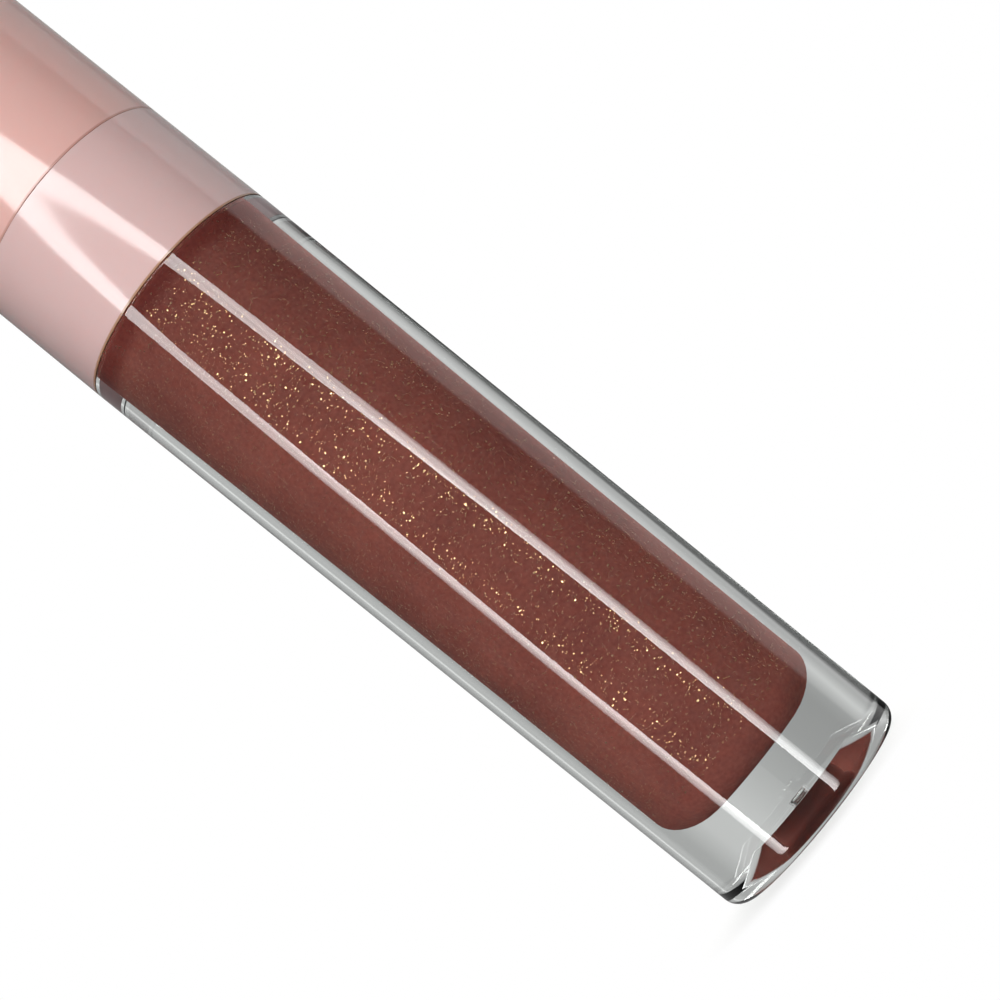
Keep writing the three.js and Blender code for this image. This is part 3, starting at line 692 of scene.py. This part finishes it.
# Pile: short fibres that stand on the skin and lean together where the gloss has clumped them.
FIBRES, FIBRE_R, FIBRE_ROOT, FIBRE_LENGTHS = 9000, 0.022, 0.02, (0.6, 0.95)
CLUMPING, SCATTER = 0.35, 0.15
rng = np.random.default_rng(11)
way = rng.uniform(0.005, 0.99, FIBRES)
turn = rng.uniform(0, 2 * np.pi, FIBRES)
root = tip_grid(way, turn, PILE)
outward = np.cross(tip_grid(way, turn + 0.01, PILE) - root, tip_grid(way + 0.004, turn, PILE) - root)
outward = unit(outward)
outward *= np.sign((outward[:, :2] * root[:, :2]).sum(axis=1, keepdims=True) + 1e-9)
clump = np.stack([np.sin(root[:, 2] * 7 + turn * 5), np.cos(root[:, 2] * 9 - turn * 4), -0.4 + 0 * turn], axis=1)
lean = unit(outward + CLUMPING * clump + rng.normal(0, SCATTER, (FIBRES, 3)))
tip_point = root + lean * (PILE * rng.uniform(*FIBRE_LENGTHS, FIBRES))[:, None]
along = unit(np.cross(outward, [0.3, 0.2, 1.0]))
beside = np.cross(outward, along)
third = 2 * np.pi / 3 * np.arange(3)[None, :, None]
feet = root[:, None] - FIBRE_ROOT * outward[:, None] + FIBRE_R * (
    np.cos(third) * along[:, None] + np.sin(third) * beside[:, None]
)
fibres = np.concatenate([feet, tip_point[:, None]], axis=1)
pile = scattered("flock_pile", fibres, [[0, 1, 3], [1, 2, 3], [2, 0, 3], [2, 1, 0]])
# Nylon flock soaked in gloss: wet brown with paler fibre ends and specks of gold.
wet_flock, tree = new_material("nylon flock soaked in gloss")
place = add(tree, "ShaderNodeTexCoord").outputs["Object"]
patch = noise(tree, place, 0.4, 4.0)
tone = blend(tree, patch, colour("#7A4238"), colour("#A4695C"))
specks = add(tree, "ShaderNodeTexVoronoi", {"Vector": place, "Scale": 1 / (0.14 * MM)})
fleck = add(tree, "ShaderNodeMapRange", {
    "Value": add(tree, "ShaderNodeSeparateColor", {0: specks.outputs["Color"]}).outputs[0],
    "From Min": 0.9, "From Max": 0.92,
})
flecked = blend(tree, fleck, tone, colour("#E9B77C"))
wet = add(tree, "ShaderNodeMapRange", {"Value": patch, "To Min": 0.2, "To Max": 0.45})
flock = add(tree, "ShaderNodeBsdfPrincipled", {
    "Base Color": flecked,
    "Metallic": fleck.outputs[0],
    "Roughness": wet,
    "IOR": 1.46,
})
add(tree, "ShaderNodeOutputMaterial", {"Surface": flock})
applicator.data.materials.append(wet_flock)
pile.data.materials.append(wet_flock)
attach(applicator, "cap")
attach(pile, "cap")
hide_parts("applicator")

# Camera: close, a little above the foot, as the photograph was taken, with the tube lying across the picture.
CAMERA_AT = np.array([0.0, -128.0, 15.2]) * MM
CAMERA_TO = np.array([2.73, 0.0, 28.31]) * MM
CAMERA_ROLL = np.radians(-51.15)
FOCAL_PIXELS, PICTURE, SENSOR = 1979, 1000, 36
ahead = (CAMERA_TO - CAMERA_AT) / np.linalg.norm(CAMERA_TO - CAMERA_AT)
level = np.cross(ahead, [0, 0, 1.0])
level /= np.linalg.norm(level)
upright = np.cross(level, ahead)
right = np.cos(CAMERA_ROLL) * level + np.sin(CAMERA_ROLL) * upright
above = np.cos(CAMERA_ROLL) * upright - np.sin(CAMERA_ROLL) * level
camera = bpy.data.objects.new("camera", bpy.data.cameras.new("camera"))
camera.data.sensor_width = SENSOR
camera.data.lens = SENSOR * FOCAL_PIXELS / PICTURE
camera.data.clip_start = 0.01
camera.matrix_world = Matrix([[right[i], above[i], -ahead[i], CAMERA_AT[i]] for i in range(3)] + [[0, 0, 0, 1]])
bpy.context.collection.objects.link(camera)
bpy.context.scene.camera = camera

# Key arch: soft light half a metre in front, for reflections. Two tall legs, brighter along their inner edges, close
# into a ribbed panel above the tube.
LIGHT_WAY = 500.0
SHEET_ROWS, SHEET_STEPS = 60, 24
EVEN_FROM, EVEN_TO = 110, 160
RIB_DEGREES = 5.3


def light_sheet(name, heights, start, end, levels, level_above, ribs):
    """A lamp bent round the tube's axis at LIGHT_WAY: rows at the heights in mm, each from an azimuth start to an
    azimuth end, in degrees from the camera's side towards +X. Its light goes from the first of the levels at the
    start to the last at the end up to the height EVEN_FROM, is an even level_above from EVEN_TO, and varies by a
    share ribs with the azimuth, once every RIB_DEGREES."""
    z = np.linspace(heights[0], heights[-1], SHEET_ROWS)[:, None]
    share = np.linspace(0, 1, SHEET_STEPS)[None, :]
    azimuth = np.radians(np.interp(z, heights, start) * (1 - share) + np.interp(z, heights, end) * share)
    points = np.stack([LIGHT_WAY * np.sin(azimuth), -LIGHT_WAY * np.cos(azimuth), z + 0 * share], axis=2) * MM
    index = np.arange(SHEET_ROWS * SHEET_STEPS).reshape(SHEET_ROWS, SHEET_STEPS)
    quads = np.stack([index[:-1, :-1], index[:-1, 1:], index[1:, 1:], index[1:, :-1]], axis=2).reshape(-1, 4)
    sheet = mesh_object(name, points, quads.tolist())
    glow_level = sheet.data.attributes.new("level", "FLOAT", "POINT")
    wave = 1 + ribs * np.sin(azimuth * 2 * np.pi / np.radians(RIB_DEGREES))
    across_level = np.interp(share, np.linspace(0, 1, len(levels)), levels)
    even = np.interp(z, [EVEN_FROM, EVEN_TO], [0, 1])
    glow_level.data.foreach_set("value", ((across_level * (1 - even) + level_above * even) * wave).ravel())
    made, tree = new_material(name)
    level = add(tree, "ShaderNodeAttribute", attribute_name="level").outputs["Fac"]
    glow = add(tree, "ShaderNodeEmission", {"Color": (1, 1, 1, 1), "Strength": level})
    add(tree, "ShaderNodeOutputMaterial", {"Surface": glow})
    sheet.data.materials.append(made)
    sheet.visible_camera = sheet.visible_diffuse = False


LEG_HEIGHTS = [-260, -110, 21, 53, 115, 179, 211, 236, 246, 251]
LEG_A_OUTER = [-53.2, -53.2, -52.1, -51.2, -49.4, -45.5, -44.2, -40.0, -37.8, -35.5]
LEG_A_INNER = [-43.5, -43.5, -44.0, -42.9, -40.3, -37.0, -31.0, -23.0, -16.0, -9.5]
LEG_B_INNER = [23.9, 23.9, 23.8, 23.2, 19.7, 15.5, 11.0, 3.0, -2.5, -8.5]
LEG_B_OUTER = [32.7, 32.7, 32.9, 32.4, 30.1, 25.4, 23.4, 19.5, 17.8, 16.5]
light_sheet("key_leg_a", LEG_HEIGHTS, LEG_A_OUTER, LEG_A_INNER, [1.5, 6.0, 8.5, 10.0, 11.0, 13.0], 8.5, 0.12)
light_sheet("key_leg_b", LEG_HEIGHTS, LEG_B_INNER, LEG_B_OUTER, [14.5, 11.5, 10.0, 8.5, 6.0, 1.5], 8.5, 0.12)
PANEL_HEIGHTS = [251, 272, 330, 420, 600]
PANEL_START = [-35.5, -29.9, -18, -16, -14]
PANEL_END = [16.5, 12.1, 0, 12, 26]
light_sheet("key_panel", PANEL_HEIGHTS, PANEL_START, PANEL_END, [9.5, 9.5], 9.5, 0.18)

# Fill lamps: large soft panels that light body colours and stay out of reflections, where the arch alone shows. The
# gathered ones reach the gloss alone: they stand for the light that the thick round wall gathers onto it like a lens,
# and for what the paper sends up through the base, which the straight shadow rays through the wall leave out. The one
# behind reaches the opaque pieces and the floor alone.
AIM_HEIGHT = 50.0
gathered = bpy.data.collections.new("lit_through_the_wall")
for piece in (gloss, glitter):
    gathered.objects.link(piece)
opaque = bpy.data.collections.new("lit_from_behind")
for piece in (collar, wiper, sealing_ring, inner_cap, outer_cap, stem, applicator, pile):
    opaque.objects.link(piece)


def soft_panel(name, azimuth, elevation, way, across, watts, receivers=None):
    """A square area lamp of a width across, at a distance way from the tube's axis at AIM_HEIGHT, in mm, and aimed
    there. Its azimuth counts from the camera's side towards +X. It lights the receivers alone, or everything."""
    lamp = bpy.data.lights.new(name, "AREA")
    lamp.shape = "SQUARE"
    lamp.size = across * MM
    lamp.energy = watts
    turn, lift = np.radians(azimuth), np.radians(elevation)
    back = np.array([np.cos(lift) * np.sin(turn), -np.cos(lift) * np.cos(turn), np.sin(lift)])
    sideways = np.cross([0, 0, 1.0], back)
    sideways /= np.linalg.norm(sideways)
    up = np.cross(back, sideways)
    at = (back * way + np.array([0, 0, AIM_HEIGHT])) * MM
    panel = bpy.data.objects.new(name, lamp)
    panel.matrix_world = Matrix([[sideways[i], up[i], back[i], at[i]] for i in range(3)] + [[0, 0, 0, 1]])
    panel.visible_camera = panel.visible_glossy = panel.visible_transmission = False
    if receivers:
        panel.light_linking.receiver_collection = receivers
    bpy.context.collection.objects.link(panel)


soft_panel("gathered_left", -80, 12, 900, 400, 3.4, gathered)
soft_panel("gathered_right", 75, 12, 900, 400, 3.3, gathered)
soft_panel("gathered_below", 0, -89.9, 49.9, 9, 0.0007, gathered)
soft_panel("fill_front", -9, 18, 900, 400, 12.8)
soft_panel("fill_back", 145, 30, 900, 600, 7.0)
soft_panel("fill_behind", -175, 30, 900, 600, 6.8, opaque)

# World: white behind the tube for the camera, and a grey room for reflections and for what is seen through the
# clear wall: darker in front, lighter behind, brightest on the +X side. In rays that climb, the dark corner behind
# it reflects paler. What the wall shows on the -X side shifts round the room with the slope of the ray.
DARK_CORNER, CORNER_ABOVE = (140, 170), 0.43
CLIMB_FROM, CLIMB_TO = 0.255, 0.28
LEAN_DOWN, LEAN_UP = 0.735, -0.665
UNSEEN_LEVEL = 0.04
REFLECTED = [
    (-180, 0.25), (-150, 0.2), (-125, 0.15), (-110, 0.08), (-86, 0.05), (-77, 0.14), (-68, 0.06), (0, 0.1),
    (60, 0.05), (92, 0.05), (96, 0.85), (124, 0.8), (136, 0.7), (140, 0.5), (144, 0.04), (168, 0.05), (180, 0.25),
]
REFLECTED_ABOVE = [
    (side, CORNER_ABOVE if DARK_CORNER[0] <= side <= DARK_CORNER[1] else level) for side, level in REFLECTED
]
SEEN_THROUGH = [
    (-180, 0.45), (-160, 0.33), (-145, 0.31), (-138, 0.36), (-129, 0.58), (-124, 0.45), (-119, 0.34), (-114, 0.36),
    (-112, 0.17), (-110, 0.07), (-100, 0.05), (-85, 0.06), (-60, 0.5), (60, 0.5), (85, 0.3), (98, 0.45),
    (107, 0.55), (111.5, 0.65), (114, 1.1), (116.5, 0.55), (121, 0.55), (127, 0.42), (136, 0.42), (143, 0.49),
    (151, 0.57), (166, 0.58), (180, 0.45),
]


def room_level(tree, azimuth, stops):
    """Grey levels round the room, as stops (azimuth in degrees from the camera's side towards +X, level). A stop
    stands at azimuth / 360 + 1/2 of the ramp."""
    turn = add(tree, "ShaderNodeMapRange", {"Value": azimuth, "From Min": -np.pi, "From Max": np.pi})
    ramp = add(tree, "ShaderNodeValToRGB", {"Fac": turn})
    for side, _ in stops[1:-1]:
        ramp.color_ramp.elements.new(side / 360 + 0.5)
    for element, (side, level) in zip(ramp.color_ramp.elements, stops):
        element.position = side / 360 + 0.5
        element.color = (level, level, level, 1)
    return ramp


world = bpy.data.worlds.new("studio")
bpy.context.scene.world = world
world.use_nodes = True
tree = world.node_tree
tree.nodes.clear()
way = add(tree, "ShaderNodeSeparateXYZ", {0: add(tree, "ShaderNodeTexCoord").outputs["Generated"]})
forward = add(tree, "ShaderNodeMath", {0: way.outputs["Y"], 1: -1.0}, operation="MULTIPLY")
azimuth = add(tree, "ShaderNodeMath", {0: way.outputs["X"], 1: forward}, operation="ARCTAN2")
lean = add(tree, "ShaderNodeMapRange", {
    "Value": way.outputs["Z"], "From Min": -1.0, "From Max": 1.0, "To Min": LEAN_DOWN, "To Max": LEAN_UP,
})
behind_x = add(tree, "ShaderNodeMath", {0: azimuth, 1: 0.0}, operation="LESS_THAN")
leaning = add(tree, "ShaderNodeMath", {0: lean, 1: behind_x, 2: azimuth}, operation="MULTIPLY_ADD")
path = add(tree, "ShaderNodeLightPath")
above = add(tree, "ShaderNodeMapRange", {
    "Value": way.outputs["Z"], "From Min": CLIMB_FROM, "From Max": CLIMB_TO,
})
reflected = blend(tree, above, room_level(tree, azimuth, REFLECTED), room_level(tree, azimuth, REFLECTED_ABOVE))
unseen = (UNSEEN_LEVEL, UNSEEN_LEVEL, UNSEEN_LEVEL, 1)
soft = blend(tree, path.outputs["Is Glossy Ray"], unseen, reflected)
through = blend(tree, path.outputs["Is Transmission Ray"], soft, room_level(tree, leaning, SEEN_THROUGH))
shown = blend(tree, path.outputs["Is Camera Ray"], through, (1, 1, 1, 1))
sky = add(tree, "ShaderNodeBackground", {"Color": shown, "Strength": 1.0})
add(tree, "ShaderNodeOutputWorld", {"Surface": sky})

# Floor: a pale sheet that the tube stands on, and that takes its shadow. Reflections, bounced light and what is seen
# through the clear base are the room's, and from below the sheet isn't there.
FLOOR_HALF, FLOOR_DROP = 1000.0, 0.02
PAPER_END, WHITE_FROM, PAPER_WHITE = 7.8, 13.0, 0.5
floor_corners = np.array([[-1, -1, 0], [1, -1, 0], [1, 1, 0], [-1, 1, 0]]) * FLOOR_HALF
floor = mesh_object("floor", (floor_corners - [0, 0, FLOOR_DROP]) * MM, [[0, 1, 2, 3]])
# Pale paper: matt and faintly fibrous by the foot, and as white as the backdrop further out, so that it has no edge.
# By the foot the camera sees it half mixed with an even white glow, painted light that keeps the shadow faint.
pale_floor, tree = new_material("pale paper")
place = add(tree, "ShaderNodeTexCoord").outputs["Object"]
fibre = noise(tree, place, 2, 4.0)
shade = blend(tree, fibre, colour("#F2F1EF"), colour("#F8F7F6"))
paper = add(tree, "ShaderNodeBsdfDiffuse", {"Color": shade})
far = add(tree, "ShaderNodeVectorMath", {0: place}, operation="LENGTH")
far_share = add(tree, "ShaderNodeMapRange", {
    "Value": far.outputs["Value"], "From Min": PAPER_END * MM, "From Max": WHITE_FROM * MM, "To Min": PAPER_WHITE,
}, interpolation_type="SMOOTHSTEP")
path = add(tree, "ShaderNodeLightPath")
white_share = add(tree, "ShaderNodeMath", {0: far_share, 1: path.outputs["Is Camera Ray"]}, operation="MULTIPLY")
white = add(tree, "ShaderNodeEmission", {"Color": (1, 1, 1, 1), "Strength": 1.0})
topside = add(tree, "ShaderNodeMixShader", {0: white_share, 1: paper, 2: white})
clear = add(tree, "ShaderNodeBsdfTransparent")
solid = add(tree, "ShaderNodeMath", {
    0: path.outputs["Is Camera Ray"], 1: path.outputs["Is Shadow Ray"],
}, operation="MAXIMUM")
from_below = add(tree, "ShaderNodeNewGeometry").outputs["Backfacing"]
solid = add(tree, "ShaderNodeMath", {0: solid, 1: from_below}, operation="SUBTRACT", use_clamp=True)
sheet = add(tree, "ShaderNodeMixShader", {0: solid, 1: clear, 2: topside})
add(tree, "ShaderNodeOutputMaterial", {"Surface": sheet})
floor.data.materials.append(pale_floor)
opaque.objects.link(floor)

# Plain display colours. Refracted caustics are off, so light comes through the clear wall by its shadow rays alone.
bpy.context.scene.view_settings.view_transform = "Standard"
bpy.context.scene.cycles.caustics_refractive = False
